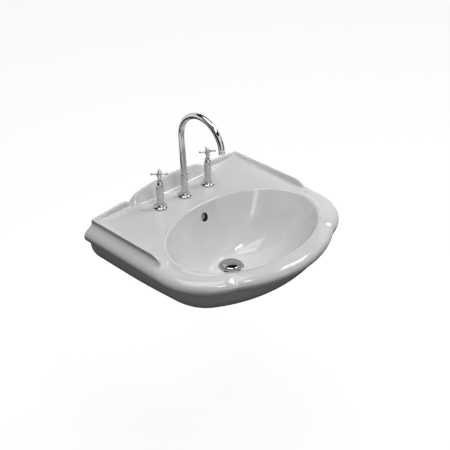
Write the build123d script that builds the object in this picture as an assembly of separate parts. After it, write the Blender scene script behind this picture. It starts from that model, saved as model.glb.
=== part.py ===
from build123d import *
import math
import os

# Wall-hung vitreous china washbasin with a three-hole cross-handle tap set and a push-plug waste.
# Millimetres. The origin is on the wall face, at deck level, on the centre line:
# +X to the user's right, +Y into the wall, +Z up.

# Basin, plan
half_width = 335.0            # outermost line of the rolled edge at the straight sides
depth = 580.0                 # wall to the front of the rolled edge
lobe_setback = 236.0          # front of the rolled edge back to where a side turns into its corner lobe
lobe_radius = 180.0
crease_x = 203.6              # centre line to the crease where the front lobe meets a corner lobe

# Basin, rolled edge
roll_reach = 27.0             # half width of the roll's oval section
roll_rise = 24.0              # half height of the roll's oval section
roll_level = -38.5            # middle of the roll at the wall
roll_front_proud = 0.5        # the roll climbs from the wall until its top is this far above the deck
roll_steps = 10
wall_overrun = 20.0           # forms are made this far into the wall, then cut flat

# Basin, deck, side ridges, back rim and crest
deck_thickness = 14.0
deck_inset = 31.0             # deck's edge, measured in from the roll's outermost line
sunk = -2.0                   # ridges, rim and crest are let into the deck to this level
ridge_length = 312.0          # wall to the front end of a side ridge
ridge_width = 17.0            # at the wall
ridge_height = 10.0           # above the deck, at the wall
ridge_end_width = 10.0
ridge_end_height = 19.0       # above the deck, where the tip starts: the ridge climbs more than the roll
ridge_tip = 32.0              # a side ridge slopes down to the deck over this length
ridge_top = 5.0               # width of a side ridge's flat top
rim_height = 23.0             # low back rim beside the notch
rim_top = 9.0                 # thickness of the rim at its top
rim_foot = 23.0               # wall to where the rim's leaning front meets the deck
notch_x = 161.0               # centre line to the notch between back rim and crest
notch_height = 11.5
notch_half_gap = 4.0
crest_height = 47.5
crest_top = 8.0
crest_foot = 31.0
top_round = 3.0               # rounded front edge along the top of the rim and the crest

# Basin, bowl
bowl_side_margin = 90.0       # outermost line of the rolled edge to the bowl's edge, at the sides
bowl_front_margin = 57.0      # the same, at the front
bowl_back_margin = 153.0      # wall to the bowl's edge
bowl_floor = -164.0
bowl_flat = 60.0              # half width of the flat floor round the drain
bowl_wall = 13.0
bowl_lip = 12.0               # radius of the bowl's rounded edge
bowl_steps = 7
drain_setback = 50.0          # the drain is this far behind the bowl's middle
drain_seat = -168.0           # ceramic face under the waste's top seal
drain_hole_radius = 23.0
boss_radius = 46.0
boss_bottom = -200.0

# Basin, apron, back, holes
apron_wall = 10.0
apron_front_step = 6.0        # the apron's front stays this far behind the creased roll
back_wall = 15.0
overflow_level = -38.0
overflow_radius = 11.0
duct_radius = 8.0
duct_wall = 7.0
duct_bend = 18.0
wall_bolt_spacing = 280.0
wall_bolt_level = -72.0
wall_bolt_hole_radius = 7.0
tap_hole_radius = 16.0

# Taps, what all three share
tap_spacing = 100.0           # spout axis to each valve axis
tap_y = -81.0
gasket_thickness = 1.0
gasket_bore = 14.0
foot_radius = 22.0
foot_edge = 3.0               # height of the foot's upright edge
foot_height = 17.0
foot_ledge = 3.0              # inside the foot: what the column stands on
column_radius = 11.4
shank_radius = 10.48          # G 1/2 thread, outside
water_bore = 5.5
relief_width = 2.0            # groove that ends a thread
relief_depth = 0.8
slip = 0.15                   # clearance between pieces that are assembled and stay put
running = 0.3                 # clearance between pieces that move past each other
washer_radius = 19.5
washer_thickness = 2.0
backnut_across_flats = 30.0
backnut_height = 9.0

# Valves
valve_top = 66.0
valve_shank_bottom = -92.0
inlet_length = 22.0           # free thread at the foot of the shank, for the supply hose
chamber_radius = 8.9
chamber_floor = 10.0
outlet_level = -60.0
outlet_radius = 6.0
outlet_bore = 3.8
outlet_reach = 15.5
bonnet_ring_radius = 12.8
bonnet_ring_height = 4.0
bonnet_shoulder_radius = 12.0
bonnet_neck_radius = 6.8
bonnet_top = 95.0
bonnet_hollow_radius = 8.0
bonnet_hollow_top = 80.0
spindle_radius = 4.2
spindle_bottom = 34.0
spindle_top = 112.0
drive_radius = 6.5
drive_height = 4.0
hub_neck_radius = 5.4
hub_neck_bottom = 96.0
hub_radius = 7.6
hub_bottom = 108.0
hub_top = 125.0
hub_round = 2.0
arm_level = 118.0
arm_reach = 23.0              # axis to the middle of the ball end
arm_root_radius = 3.5
arm_tip_radius = 2.7
arm_ball_radius = 4.1
arm_count = 4
hot_handle_angle = 48.0       # one arm's direction, anticlockwise from +X
cold_handle_angle = 58.0
cap_radius = 5.6
cap_crown = 5.2
cap_spigot_radius = 3.7
screw_radius = 2.0
screw_depth = 12.0
screw_seat = 119.0
screw_head_radius = 3.6
screw_head_height = 3.0

# Spout
spout_column_top = 71.0
spout_shank_bottom = -78.0
socket_radius = 8.6
socket_floor = 34.0
o_ring_levels = (44.0, 54.0)
o_ring_section = 0.6
collar_radius = 12.4
collar_height = 6.0
tube_radius = 9.5
tube_wall = 1.6
neck_straight = 12.0          # upright tube before the neck leans
lean_angle = 4.1              # the neck leans towards the wall
lean_radius = 180.0
lean_length = 124.0
arch_radius = 88.0
arch_turn = 175.0
nozzle_length = 12.0
aerator_radius = 9.9
aerator_length = 11.0
screen_thickness = 3.0
screen_hole_radius = 0.9
screen_hole_circle = 4.6
screen_hole_count = 8
tee_top = -66.0
tee_bottom = -96.0
tee_radius = 14.0
tee_level = -86.0
tee_arm_radius = 8.5
tee_arm_reach = 31.0

# Waste
waste_seal = 2.0
flange_radius = 38.0
flange_thickness = 4.0
flange_bevel = 2.0
plug_recess_radius = 25.5
plug_recess_depth = 2.0
tail_radius = 20.95           # G 1 1/4 thread, outside
tail_bore = 18.5
tail_bottom = -262.0
outlet_length = 40.0          # free thread at the foot of the tail, for the trap
slot_width = 9.0
slot_height = 14.0
slot_level = -185.0
bridge_top = -196.0
bridge_height = 5.0
bridge_width = 22.0
under_seal_radius = 32.0
under_seal_height = 3.0
waste_washer_thickness = 1.5
waste_nut_across_flats = 54.0
waste_nut_height = 10.0
plug_radius = 24.5
plug_edge = 2.5
plug_crown = 4.5
plug_seal_inner = 19.5
plug_seal_outer = 23.5
plug_stem_radius = 4.0
plug_stem_length = 44.0
push_tube_radius = 8.0
push_tube_top = -178.0
push_tube_bottom = -211.0
push_collar_radius = 10.0
push_collar_height = 2.0

# Worked out
centre_x = half_width - lobe_radius
lobe_centre_y = lobe_setback - depth
front_rise = lobe_setback - math.sqrt(lobe_radius**2 - (crease_x - centre_x)**2)
front_radius = (crease_x**2 + front_rise**2) / (2 * front_rise)
front_centre_y = front_radius - depth
bowl_half_width = half_width - bowl_side_margin
bowl_half_length = (depth - bowl_front_margin - bowl_back_margin) / 2
bowl_centre_y = -bowl_back_margin - bowl_half_length
bowl_last = bowl_flat / bowl_half_width
drain_y = bowl_centre_y + drain_setback
roll_slope = (roll_front_proud - roll_level - roll_rise) / depth
tilt = math.degrees(math.atan(roll_slope))
gasket_top = gasket_thickness
column_foot = gasket_top + foot_ledge
shank_bore = shank_radius + slip
nut_top = -deck_thickness - 2 * washer_thickness
spindle_bore = spindle_radius + running
spigot_radius = socket_radius - 0.4
tube_bottom = spout_column_top + running
tube_bore = tube_radius - tube_wall
flange_bottom = drain_seat + waste_seal
flange_top = flange_bottom + flange_thickness
recess_floor = flange_top - plug_recess_depth
plug_bottom = flange_top - 1.0
big = 4 * depth

os.makedirs("parts", exist_ok=True)


def save(shape, name):
    shape.label = name
    export_step(shape, f"parts/{name}.step")


def turned(points, x=0.0, y=0.0):
    """Turns (radius, height) points about the upright line through x, y."""
    return turned_edges([Polyline(*points, close=True)], x, y)


def turned_edges(edges, x=0.0, y=0.0):
    """Turns a closed outline of edges, drawn as (radius, height), about the upright line through x, y."""
    return Pos(x, y, 0) * revolve(Plane.XZ * make_face(edges), Axis.Z)


def ring(inner, outer, bottom, top, x=0.0, y=0.0):
    return turned([(inner, bottom), (outer, bottom), (outer, top), (inner, top)], x, y)


def rod(radius, bottom, top, x=0.0, y=0.0):
    return Pos(x, y, (bottom + top) / 2) * Cylinder(radius, top - bottom)


def hex_nut(across_flats, bore, bottom, top, x=0.0, y=0.0):
    blank = extrude(RegularPolygon(across_flats / 2, 6, major_radius=False), top - bottom)
    return Pos(x, y, bottom) * blank - rod(bore, bottom, top, x, y)


def dome(radius, base, crown):
    """Spherical cap's outline from its edge to the axis, as (radius, height)."""
    ball = (radius**2 + crown**2) / (2 * crown)
    half_turn = math.atan2(radius, ball - crown) / 2
    middle = (ball * math.sin(half_turn), base + crown - ball * (1 - math.cos(half_turn)))
    return ThreePointArc((radius, base), middle, (0, base + crown))


# Basin: outer form

def climbing(shape):
    """Turns a level shape so that it climbs to the front as the roll does."""
    return Rot(X=-tilt) * shape


def crease(inset):
    """Where the corner lobe meets the front lobe, both drawn in by inset."""
    corner = lobe_radius - inset
    front = front_radius - inset
    dx = -centre_x
    dy = front_centre_y - lobe_centre_y
    apart = math.hypot(dx, dy)
    along = (corner**2 - front**2 + apart**2) / (2 * apart)
    across = math.sqrt(corner**2 - along**2)
    return centre_x + (along * dx - across * dy) / apart, lobe_centre_y + (along * dy + across * dx) / apart


def lobed_plan(inset, back_y, level):
    """Plan of the rolled edge drawn in by inset, from the wall round three lobes."""
    side = half_width - inset
    cx, cy = crease(inset)
    turn = math.atan2(cy - lobe_centre_y, cx - centre_x) / 2
    corner = lobe_radius - inset
    mx = centre_x + corner * math.cos(turn)
    my = lobe_centre_y + corner * math.sin(turn)
    return Pos(0, 0, level) * make_face([
        Line((-side, back_y), (side, back_y)),
        Line((side, back_y), (side, lobe_centre_y)),
        ThreePointArc((side, lobe_centre_y), (mx, my), (cx, cy)),
        ThreePointArc((cx, cy), (0, inset - depth), (-cx, cy)),
        ThreePointArc((-cx, cy), (-mx, my), (-side, lobe_centre_y)),
        Line((-side, lobe_centre_y), (-side, back_y)),
    ])


def apron_plan(inset, back_y, level):
    """Smooth plan under the roll: straight sides, corner arcs and a front arc tangent to both."""
    side = half_width - inset
    corner = lobe_radius - inset
    front = depth - inset - apron_front_step
    reach = front + lobe_centre_y
    arc = (centre_x**2 + reach**2 - corner**2) / (2 * (reach - corner))
    run = math.hypot(centre_x, lobe_centre_y + front - arc)
    out_x = centre_x / run
    out_y = (lobe_centre_y + front - arc) / run
    touch_x = centre_x + corner * out_x
    touch_y = lobe_centre_y + corner * out_y
    turn = math.atan2(out_y, out_x) / 2
    mx = centre_x + corner * math.cos(turn)
    my = lobe_centre_y + corner * math.sin(turn)
    return Pos(0, 0, level) * make_face([
        Line((-side, back_y), (side, back_y)),
        Line((side, back_y), (side, lobe_centre_y)),
        ThreePointArc((side, lobe_centre_y), (mx, my), (touch_x, touch_y)),
        ThreePointArc((touch_x, touch_y), (0, -front), (-touch_x, touch_y)),
        ThreePointArc((-touch_x, touch_y), (-mx, my), (-side, lobe_centre_y)),
        Line((-side, lobe_centre_y), (-side, back_y)),
    ])


# Apron section: how far in from the roll's outermost line, and at what level
apron_sections = [
    (24, -40),
    (21, -62),
    (28, -90),
    (40, -121),
    (56, -143),
    (82, -163),
]


def apron():
    return climbing(loft([apron_plan(inset, wall_overrun, level) for inset, level in apron_sections]))


def apron_hollow():
    """Inside of the apron, open below: every section drawn in and lifted by the wall."""
    plans = [apron_plan(inset + apron_wall, wall_overrun, level + apron_wall) for inset, level in apron_sections]
    top_inset, top_level = apron_sections[0]
    end_inset, end_level = apron_sections[-1]
    neck = apron_plan(top_inset + apron_wall, wall_overrun, 0)
    mouth = apron_plan(end_inset + apron_wall, wall_overrun, end_level + apron_wall)
    return climbing(loft(plans) + extrude(neck, top_level + apron_wall) + extrude(mouth, -4 * apron_wall))


def roll():
    """Slab with an oval rolled edge, lofted through lobed plans round half the oval."""
    plans = []
    for step in range(roll_steps + 1):
        turn = math.pi * (step / roll_steps - 0.5)
        inset = roll_reach * (1 - math.cos(turn))
        plans.append(lobed_plan(inset, wall_overrun, roll_level + roll_rise * math.sin(turn)))
    return climbing(loft(plans))


def side_ridge():
    """Ridge along the right side of the deck, climbing to a tip that slopes down at the front."""
    outer = half_width - deck_inset

    def section(y, height, width):
        face = make_face(Polyline((outer, sunk), (outer, height), (outer - ridge_top, height),
                                  (outer - width, sunk), close=True))
        return Pos(0, y, 0) * (Plane.XZ * face)

    return loft([
        section(0, ridge_height, ridge_width),
        section(ridge_tip - ridge_length, ridge_end_height, ridge_end_width),
        section(-ridge_length, 0, ridge_end_width),
    ], ruled=True)


def leaning(outline, height, top, foot):
    """Upright outline made a wall whose front leans from its foot on the deck to its thinner top."""
    lean = (foot - top) / height
    wedge = make_face(Polyline((0, sunk), (0, height + 1), (lean - top, height + 1),
                               (sunk * lean - foot, sunk), close=True))
    body = extrude(Plane.XZ * outline, 2 * foot) & extrude(Plane.YZ * wedge, 2 * half_width, both=True)
    front = body.faces().sort_by(Axis.Y)[0]
    return fillet([edge for edge in front.edges() if edge.center().Z > notch_height], top_round)


def back_rim():
    """Low rim along the wall, rising from the corner to the notch beside the crest."""
    outer = half_width - deck_inset
    notch = notch_x + notch_half_gap
    shoulder = Spline((notch + 34, rim_height), (notch + 14, rim_height - 2), (notch, notch_height),
                      tangents=((-1, 0.1), (-0.5, -1)))
    outline = make_face([
        Line((notch, sunk), (outer, sunk)),
        Line((outer, sunk), (outer, ridge_height)),
        Line((outer, ridge_height), (notch + 34, rim_height)),
        shoulder,
        Line((notch, notch_height), (notch, sunk)),
    ])
    return leaning(outline, rim_height, rim_top, rim_foot)


def crest():
    """Raised crest with a double-stepped scalloped top."""
    end = notch_x - notch_half_gap
    right = Spline((0, crest_height), (53, crest_height - 1), (74, crest_height - 5),
                   (112, crest_height - 10), (138, crest_height - 16), (150, crest_height - 24),
                   (end, notch_height), tangents=((1, 0), (0.3, -1)))
    outline = make_face([
        right,
        Line((end, notch_height), (end, sunk)),
        Line((end, sunk), (-end, sunk)),
        Line((-end, sunk), (-end, notch_height)),
        mirror(right, Plane.YZ),
    ])
    return leaning(outline, crest_height, crest_top, crest_foot)


def notch_sill():
    """Floor of the notch between the rim and the crest, which falls from the wall to the deck."""
    profile = make_face(Polyline((0, sunk), (0, notch_height), (-rim_foot, 0), (-rim_foot, sunk), close=True))
    gap = extrude(Plane.YZ * profile, 3 * notch_half_gap, both=True)
    return Pos(notch_x, 0, 0) * gap


# Basin: bowl, overflow and underside

def bowl_middle(scale):
    """The bowl's ellipses move back from its middle to the drain as they shrink."""
    return bowl_centre_y + drain_setback * (1 - scale) / (1 - bowl_last)


def bowl(extra, floor_drop):
    """Bowl as a loft of ellipses down a parabola to the flat floor; extra makes it the bowl's outside."""
    floor = bowl_floor - floor_drop
    plans = []
    for step in range(bowl_steps):
        scale = 1 - (1 - bowl_last) * step / (bowl_steps - 1)
        level = floor * (1 - scale**2) / (1 - bowl_last**2)
        plan = Ellipse(bowl_half_width * scale + extra, bowl_half_length * scale + extra)
        plans.append(Pos(0, bowl_middle(scale), level) * plan)
    return loft(plans)


def bowl_wall_y():
    """Where the bowl's back wall is at the overflow's level."""
    scale = math.sqrt(1 - overflow_level / bowl_floor * (1 - bowl_last**2))
    return bowl_middle(scale) + bowl_half_length * scale


def overflow_duct(radius):
    """Round duct from behind the overflow, down the back of the bowl and into the drain hole."""
    wall_y = bowl_wall_y()
    stops = [
        (0, wall_y + 2, overflow_level),
        (0, wall_y + 22, overflow_level - 11),
        (0, wall_y - 11, overflow_level - 95),
        (0, drain_y + boss_radius + 17, slot_level),
        (0, drain_y + drain_hole_radius - 2, slot_level),
    ]
    path = FilletPolyline(*stops, radius=duct_bend)
    section = Plane(origin=stops[0], z_dir=path % 0) * Circle(radius)
    return sweep(section, path)


def basin():
    deck = extrude(lobed_plan(deck_inset, 0, 0), -45)
    ridge = side_ridge()
    form = apron() + roll() + deck + ridge + mirror(ridge, Plane.YZ)
    rim = back_rim() + notch_sill()
    form += rim + mirror(rim, Plane.YZ) + crest()
    form &= Pos(0, -big / 2, 0) * Box(big, big, big)

    boss = rod(boss_radius, boss_bottom, drain_seat + 6, 0, drain_y)
    rib = overflow_duct(duct_radius + duct_wall)
    kept = bowl(bowl_wall, bowl_wall) + boss + rib
    below_deck = Pos(0, -back_wall - big / 2, -deck_thickness - big / 2) * Box(big, big, big)
    form -= (apron_hollow() & below_deck) - kept
    form += kept

    form -= bowl(0, 0)
    lip = [edge for edge in form.edges() if edge.is_closed and abs(edge.center().Z) < 0.01]
    form = fillet(lip, bowl_lip)
    form -= rod(flange_radius + 1, drain_seat, bowl_floor + 6, 0, drain_y)
    form -= rod(drain_hole_radius, boss_bottom - 1, drain_seat + 1, 0, drain_y)
    wall_y = bowl_wall_y()
    form -= Pos(0, wall_y - 8, overflow_level) * (Rot(X=90) * Cylinder(overflow_radius, 30))
    form -= overflow_duct(duct_radius)
    for x in (-tap_spacing, 0, tap_spacing):
        form -= rod(tap_hole_radius, -2 * deck_thickness, 1, x, tap_y)
    for x in (-wall_bolt_spacing / 2, wall_bolt_spacing / 2):
        form -= Pos(x, 0, wall_bolt_level) * (Rot(X=90) * Cylinder(wall_bolt_hole_radius, 3 * back_wall))
    return form


save(basin(), "basin")


# Taps: what the spout and both valves share

def foot(x):
    """Round flared foot with a ledge inside that the column stands on."""
    waist = column_radius + slip
    lip = waist + 1.0
    edge_top = gasket_top + foot_edge
    sweep_x = lip + 0.28 * (foot_radius - lip)
    sweep_z = edge_top + 0.30 * (foot_height - edge_top)
    return turned_edges([
        Polyline((lip, foot_height), (waist, foot_height), (waist, column_foot), (shank_bore, column_foot),
                 (shank_bore, gasket_top), (foot_radius, gasket_top), (foot_radius, edge_top)),
        ThreePointArc((foot_radius, edge_top), (sweep_x, sweep_z), (lip, foot_height)),
    ], x, tap_y)


def tap_fixings(name, x):
    """Gasket and foot on the deck; gasket, washer and backnut on the shank under it."""
    under = -deck_thickness
    save(ring(gasket_bore, foot_radius - 1.5, 0, gasket_top, x, tap_y), f"{name}_gasket")
    save(foot(x), f"{name}_foot")
    save(ring(shank_bore, washer_radius, under - washer_thickness, under, x, tap_y), f"{name}_under_gasket")
    save(ring(shank_bore, washer_radius, nut_top, under - washer_thickness, x, tap_y), f"{name}_washer")
    nut = hex_nut(backnut_across_flats, shank_bore, nut_top - backnut_height, nut_top, x, tap_y)
    save(nut, f"{name}_backnut")


# Valves

def valve_body(x):
    """Column, threaded shank and cartridge chamber in one, with a side outlet towards the spout."""
    inward = -math.copysign(1, x)
    inlet_top = valve_shank_bottom + inlet_length
    body = turned([
        (water_bore, valve_shank_bottom), (shank_radius, valve_shank_bottom), (shank_radius, column_foot),
        (column_radius, column_foot), (column_radius, valve_top), (chamber_radius, valve_top),
        (chamber_radius, chamber_floor), (water_bore, chamber_floor),
    ], x, tap_y)
    outlet_place = Pos(x + inward * outlet_reach / 2, tap_y, outlet_level) * Rot(Y=90)
    outlet = outlet_place * Cylinder(outlet_radius, outlet_reach)
    body += outlet - rod(water_bore, valve_shank_bottom, chamber_floor, x, tap_y)
    body -= outlet_place * Cylinder(outlet_bore, outlet_reach)
    return body - ring(shank_radius - relief_depth, shank_radius + 1, inlet_top, inlet_top + relief_width, x, tap_y)


def cartridge(x):
    """Headwork that fills the chamber, with room inside for the spindle and its drive disc."""
    body = ring(spindle_bore, chamber_radius - slip, chamber_floor, valve_top, x, tap_y)
    room = rod(drive_radius + running, spindle_bottom - running,
               spindle_bottom + drive_height + running, x, tap_y)
    return body - room


def bonnet(x):
    """Bell over the headwork: a raised ring, then a convex bell up to a narrow neck."""
    ring_top = valve_top + bonnet_ring_height
    bulge_r = bonnet_neck_radius + 0.72 * (bonnet_shoulder_radius - bonnet_neck_radius)
    bulge_z = ring_top + 0.52 * (bonnet_top - ring_top)
    return turned_edges([
        ThreePointArc((bonnet_shoulder_radius, ring_top), (bulge_r, bulge_z), (bonnet_neck_radius, bonnet_top)),
        Polyline((bonnet_neck_radius, bonnet_top), (spindle_bore, bonnet_top),
                 (spindle_bore, bonnet_hollow_top + bonnet_hollow_radius - spindle_bore),
                 (bonnet_hollow_radius, bonnet_hollow_top), (bonnet_hollow_radius, valve_top),
                 (bonnet_ring_radius, valve_top), (bonnet_ring_radius, ring_top),
                 (bonnet_shoulder_radius, ring_top)),
    ], x, tap_y)


def spindle(x):
    """Turning spindle with a drive disc at the foot and a tapped hole at the top."""
    body = rod(spindle_radius, spindle_bottom, spindle_top, x, tap_y)
    body += rod(drive_radius, spindle_bottom, spindle_bottom + drive_height, x, tap_y)
    return body - rod(screw_radius + slip, spindle_top - screw_depth, spindle_top, x, tap_y)


def cross_handle(x, angle):
    """Hub on a neck, with four tapering arms that end in balls."""
    bore = spindle_radius + slip
    hub = turned([
        (bore, hub_neck_bottom), (hub_neck_radius, hub_neck_bottom), (hub_neck_radius, hub_bottom - hub_round),
        (hub_radius, hub_bottom), (hub_radius, hub_top - hub_round), (hub_radius - hub_round, hub_top),
        (screw_head_radius + running, hub_top), (screw_head_radius + running, screw_seat),
        (screw_radius + slip, screw_seat), (screw_radius + slip, spindle_top), (bore, spindle_top),
    ])
    root = hub_radius - 2.0
    blank = Pos((root + arm_reach) / 2, 0, arm_level) * (
        Rot(Y=90) * Cone(arm_root_radius, arm_tip_radius, arm_reach - root))
    arm = blank + Pos(arm_reach, 0, arm_level) * Sphere(arm_ball_radius)
    for quarter in range(arm_count):
        hub += Rot(Z=angle + quarter * 360 / arm_count) * arm
    return Pos(x, tap_y, 0) * hub


def handle_cap(x):
    """Domed cap on the hub, on a short spigot over the screw head."""
    spigot_bottom = screw_seat + screw_head_height + running
    return turned_edges([
        dome(cap_radius, hub_top, cap_crown),
        Polyline((0, hub_top + cap_crown), (0, spigot_bottom), (cap_spigot_radius, spigot_bottom),
                 (cap_spigot_radius, hub_top), (cap_radius, hub_top)),
    ], x, tap_y)


def handle_screw(x):
    shank_end = spindle_top - screw_depth + running
    head_top = screw_seat + screw_head_height
    return turned([(0, shank_end), (screw_radius, shank_end), (screw_radius, screw_seat),
                   (screw_head_radius, screw_seat), (screw_head_radius, head_top), (0, head_top)], x, tap_y)


for name, x, angle in (("hot", -tap_spacing, hot_handle_angle), ("cold", tap_spacing, cold_handle_angle)):
    tap_fixings(name, x)
    save(valve_body(x), f"{name}_valve_body")
    save(cartridge(x), f"{name}_cartridge")
    save(bonnet(x), f"{name}_bonnet")
    save(spindle(x), f"{name}_spindle")
    save(cross_handle(x, angle), f"{name}_handle")
    save(handle_cap(x), f"{name}_handle_cap")
    save(handle_screw(x), f"{name}_handle_screw")


# Spout

def spout_column():
    """Column and threaded shank in one, with a socket in the top that the gooseneck turns in."""
    return turned([
        (water_bore, spout_shank_bottom), (shank_radius, spout_shank_bottom), (shank_radius, column_foot),
        (column_radius, column_foot), (column_radius, spout_column_top), (socket_radius, spout_column_top),
        (socket_radius, socket_floor), (water_bore, socket_floor),
    ], 0, tap_y)


def neck_path():
    """Centre line of the gooseneck in the side plane, as (y, z): upright, a slight lean, and the arch."""
    upright = Line((tap_y, tube_bottom), (tap_y, tube_bottom + neck_straight))
    bend = JernArc(upright @ 1, upright % 1, lean_radius, -lean_angle)
    lean = Line(bend @ 1, bend @ 1 + (bend % 1) * lean_length)
    arch = JernArc(lean @ 1, lean % 1, arch_radius, arch_turn)
    nozzle = Line(arch @ 1, arch @ 1 + (arch % 1) * nozzle_length)
    return Plane.YZ * (upright + bend + lean + arch + nozzle)


def gooseneck(path):
    """Bent tube on a grooved spigot; the grooves hold the O-rings."""
    start = Plane(origin=(0, tap_y, tube_bottom), z_dir=(0, 0, 1))
    wire = Wire(path.edges())
    tube = sweep(start * Circle(tube_radius), wire) - sweep(start * Circle(tube_bore), wire)
    groove_radius = socket_radius - running - 2 * o_ring_section - 0.05
    spigot = ring(water_bore, spigot_radius, socket_floor + running, tube_bottom, 0, tap_y)
    for level in o_ring_levels:
        spigot -= ring(groove_radius, socket_radius, level - o_ring_section - 0.1,
                       level + o_ring_section + 0.1, 0, tap_y)
    seat = ring(water_bore, tube_radius, tube_bottom, tube_bottom + 3, 0, tap_y)
    return tube + seat + spigot


def o_rings():
    middle = socket_radius - running - o_ring_section
    return Compound(children=[Pos(0, tap_y, level) * Torus(middle, o_ring_section) for level in o_ring_levels])


def inlet_tee():
    """Tee on the end of the shank, with one arm towards each valve."""
    body = rod(tee_radius, tee_bottom, tee_top, 0, tap_y)
    body += Pos(0, tap_y, tee_level) * (Rot(Y=90) * Cylinder(tee_arm_radius, 2 * tee_arm_reach))
    body -= rod(shank_bore, spout_shank_bottom, tee_top, 0, tap_y)
    body -= rod(water_bore, tee_level, spout_shank_bottom, 0, tap_y)
    return body - Pos(0, tap_y, tee_level) * (Rot(Y=90) * Cylinder(water_bore, 2 * tee_arm_reach))


def aerator_screen(tip):
    disc = Cylinder(tube_bore - slip, screen_thickness)
    for hole in PolarLocations(screen_hole_circle, screen_hole_count):
        disc -= hole * Cylinder(screen_hole_radius, screen_thickness)
    return tip * (Pos(0, 0, aerator_length - screen_thickness) * disc)


neck = neck_path()
mouth = neck.edges()[-1]
tip = Plane(origin=mouth @ 1, z_dir=mouth % 1)
tap_fixings("spout", 0)
save(spout_column(), "spout_column")
save(ring(tube_radius + running, collar_radius, spout_column_top, spout_column_top + collar_height, 0, tap_y),
     "spout_collar")
save(gooseneck(neck), "gooseneck")
save(o_rings(), "spout_o_rings")
save(inlet_tee(), "spout_tee")
housing = Cylinder(aerator_radius, aerator_length) - Cylinder(tube_bore, aerator_length)
save(tip * (Pos(0, 0, aerator_length / 2) * housing), "aerator_housing")
save(aerator_screen(tip), "aerator_screen")


# Waste

def waste_body():
    """Flange and threaded tail in one, with overflow slots and a bridge that holds the push cartridge."""
    body = turned([
        (tail_bore, tail_bottom), (tail_radius, tail_bottom), (tail_radius, flange_bottom),
        (flange_radius, flange_bottom), (flange_radius, flange_top - flange_bevel),
        (flange_radius - flange_bevel, flange_top), (plug_recess_radius, flange_top),
        (plug_recess_radius, recess_floor), (tail_bore, recess_floor),
    ], 0, drain_y)
    bridge = Pos(0, drain_y, bridge_top - bridge_height / 2) * Box(2 * tail_radius, bridge_width, bridge_height)
    bridge &= rod(tail_radius - 0.5, bridge_top - bridge_height, bridge_top, 0, drain_y)
    body += bridge - rod(push_tube_radius + slip, bridge_top - bridge_height, bridge_top, 0, drain_y)
    body -= Pos(0, drain_y, slot_level) * Box(slot_width, 4 * tail_radius, slot_height)
    outlet_top = tail_bottom + outlet_length
    return body - ring(tail_radius - relief_depth, tail_radius + 1, outlet_top, outlet_top + relief_width, 0, drain_y)


def push_cartridge():
    """Tube with a collar that rests on the bridge; the plug's stem slides in it."""
    tube = ring(plug_stem_radius + running, push_tube_radius, push_tube_bottom, push_tube_top, 0, drain_y)
    collar = ring(push_tube_radius, push_collar_radius, bridge_top, bridge_top + push_collar_height, 0, drain_y)
    return tube + collar


def plug_dome():
    edge_top = plug_bottom + plug_edge
    return turned_edges([
        dome(plug_radius, edge_top, plug_crown),
        Polyline((0, edge_top + plug_crown), (0, plug_bottom), (plug_radius, plug_bottom), (plug_radius, edge_top)),
    ], 0, drain_y)


washer_top = boss_bottom - under_seal_height
waste_nut_top = washer_top - waste_washer_thickness
thread_bore = tail_radius + slip
save(waste_body(), "waste_body")
save(ring(thread_bore, flange_radius - 2, drain_seat, flange_bottom, 0, drain_y), "waste_top_seal")
save(ring(thread_bore, under_seal_radius, washer_top, boss_bottom, 0, drain_y), "waste_under_seal")
save(ring(thread_bore, under_seal_radius, waste_nut_top, washer_top, 0, drain_y), "waste_washer")
waste_nut = hex_nut(waste_nut_across_flats, thread_bore, waste_nut_top - waste_nut_height, waste_nut_top, 0, drain_y)
save(waste_nut, "waste_backnut")
save(push_cartridge(), "push_cartridge")
save(plug_dome(), "plug_dome")
save(ring(plug_seal_inner, plug_seal_outer, recess_floor + 0.05, plug_bottom, 0, drain_y), "plug_seal")
save(rod(plug_stem_radius, plug_bottom - plug_stem_length, plug_bottom, 0, drain_y), "plug_stem")
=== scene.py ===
import bmesh
import bpy
import math
import numpy as np
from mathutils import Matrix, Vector


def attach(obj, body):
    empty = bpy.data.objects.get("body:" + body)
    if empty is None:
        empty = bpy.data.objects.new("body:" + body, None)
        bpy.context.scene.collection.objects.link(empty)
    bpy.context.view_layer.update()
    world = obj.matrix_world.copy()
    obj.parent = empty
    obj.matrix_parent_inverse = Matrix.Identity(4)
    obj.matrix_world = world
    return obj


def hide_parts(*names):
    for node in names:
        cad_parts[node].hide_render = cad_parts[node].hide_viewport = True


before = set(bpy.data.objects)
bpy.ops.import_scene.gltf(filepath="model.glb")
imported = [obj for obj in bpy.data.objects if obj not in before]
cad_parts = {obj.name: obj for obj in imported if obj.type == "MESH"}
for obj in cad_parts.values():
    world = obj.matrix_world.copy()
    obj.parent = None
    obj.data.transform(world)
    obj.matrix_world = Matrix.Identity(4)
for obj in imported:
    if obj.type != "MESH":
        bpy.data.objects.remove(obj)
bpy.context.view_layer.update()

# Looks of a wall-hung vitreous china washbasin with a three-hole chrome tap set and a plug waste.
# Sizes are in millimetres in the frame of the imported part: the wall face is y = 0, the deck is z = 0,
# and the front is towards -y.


# Basin: one vitreous china casting, slip-cast in plaster and glazed all over, bolted to the wall.
# Its edge is a roll in three lobes; a ridge climbs along each side, and a rim with a raised crest runs
# along the wall. Pooled glaze softens every edge.

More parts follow.
